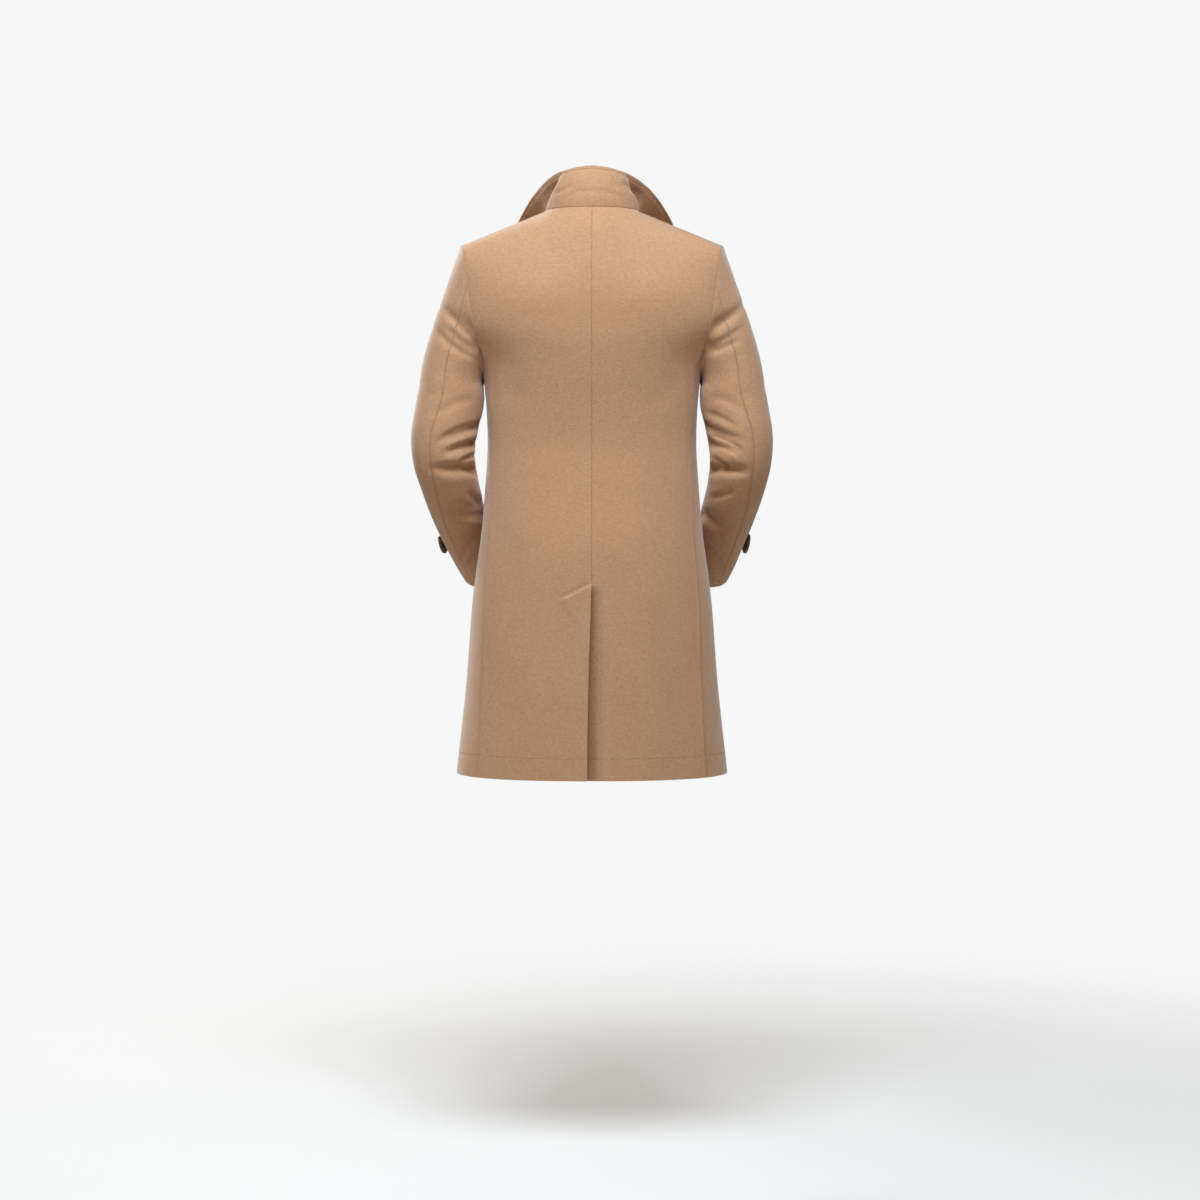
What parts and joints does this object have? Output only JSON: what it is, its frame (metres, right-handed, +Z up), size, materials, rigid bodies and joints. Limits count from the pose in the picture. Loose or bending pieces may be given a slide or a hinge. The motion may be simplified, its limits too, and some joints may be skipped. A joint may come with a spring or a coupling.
{
  "type": "double-breasted wool coat",
  "caption": "Camel wool overcoat in its worn shape, hollow: turned-up collar, peak lapels, double-breasted front, bent two-piece sleeves, centre-back seam and open vent.",
  "frame": {"origin": "inside the collar, level with the collar seam at the centre back and midway between the shoulder tips, where the wearer's neck and shoulders hold the coat", "axes": "+Z up towards the collar, -Y out of the buttoned front, +X to the coat's own left side"},
  "size_m": [0.6119, 0.3515, 1.0221],
  "materials": {
    "wool": "matte brushed wool cloth",
    "button": "dark brown horn, softly polished"
  },
  "bodies": {
    "root": {"back_left": "wool", "back_right": "wool", "front_left": "wool", "front_right": "wool", "sleeve_top_left": "wool", "sleeve_under_left": "wool", "sleeve_top_right": "wool", "sleeve_under_right": "wool", "collar": "wool", "lapel_left": "wool", "lapel_right": "wool", "pocket_welt_left": "wool", "pocket_welt_right": "wool", "button_left_1": "button", "button_right_1": "button", "button_left_2": "button", "button_right_2": "button", "button_left_3": "button", "button_right_3": "button", "button_cuff_left": "button", "button_cuff_right": "button"}
  },
  "joints": []
}
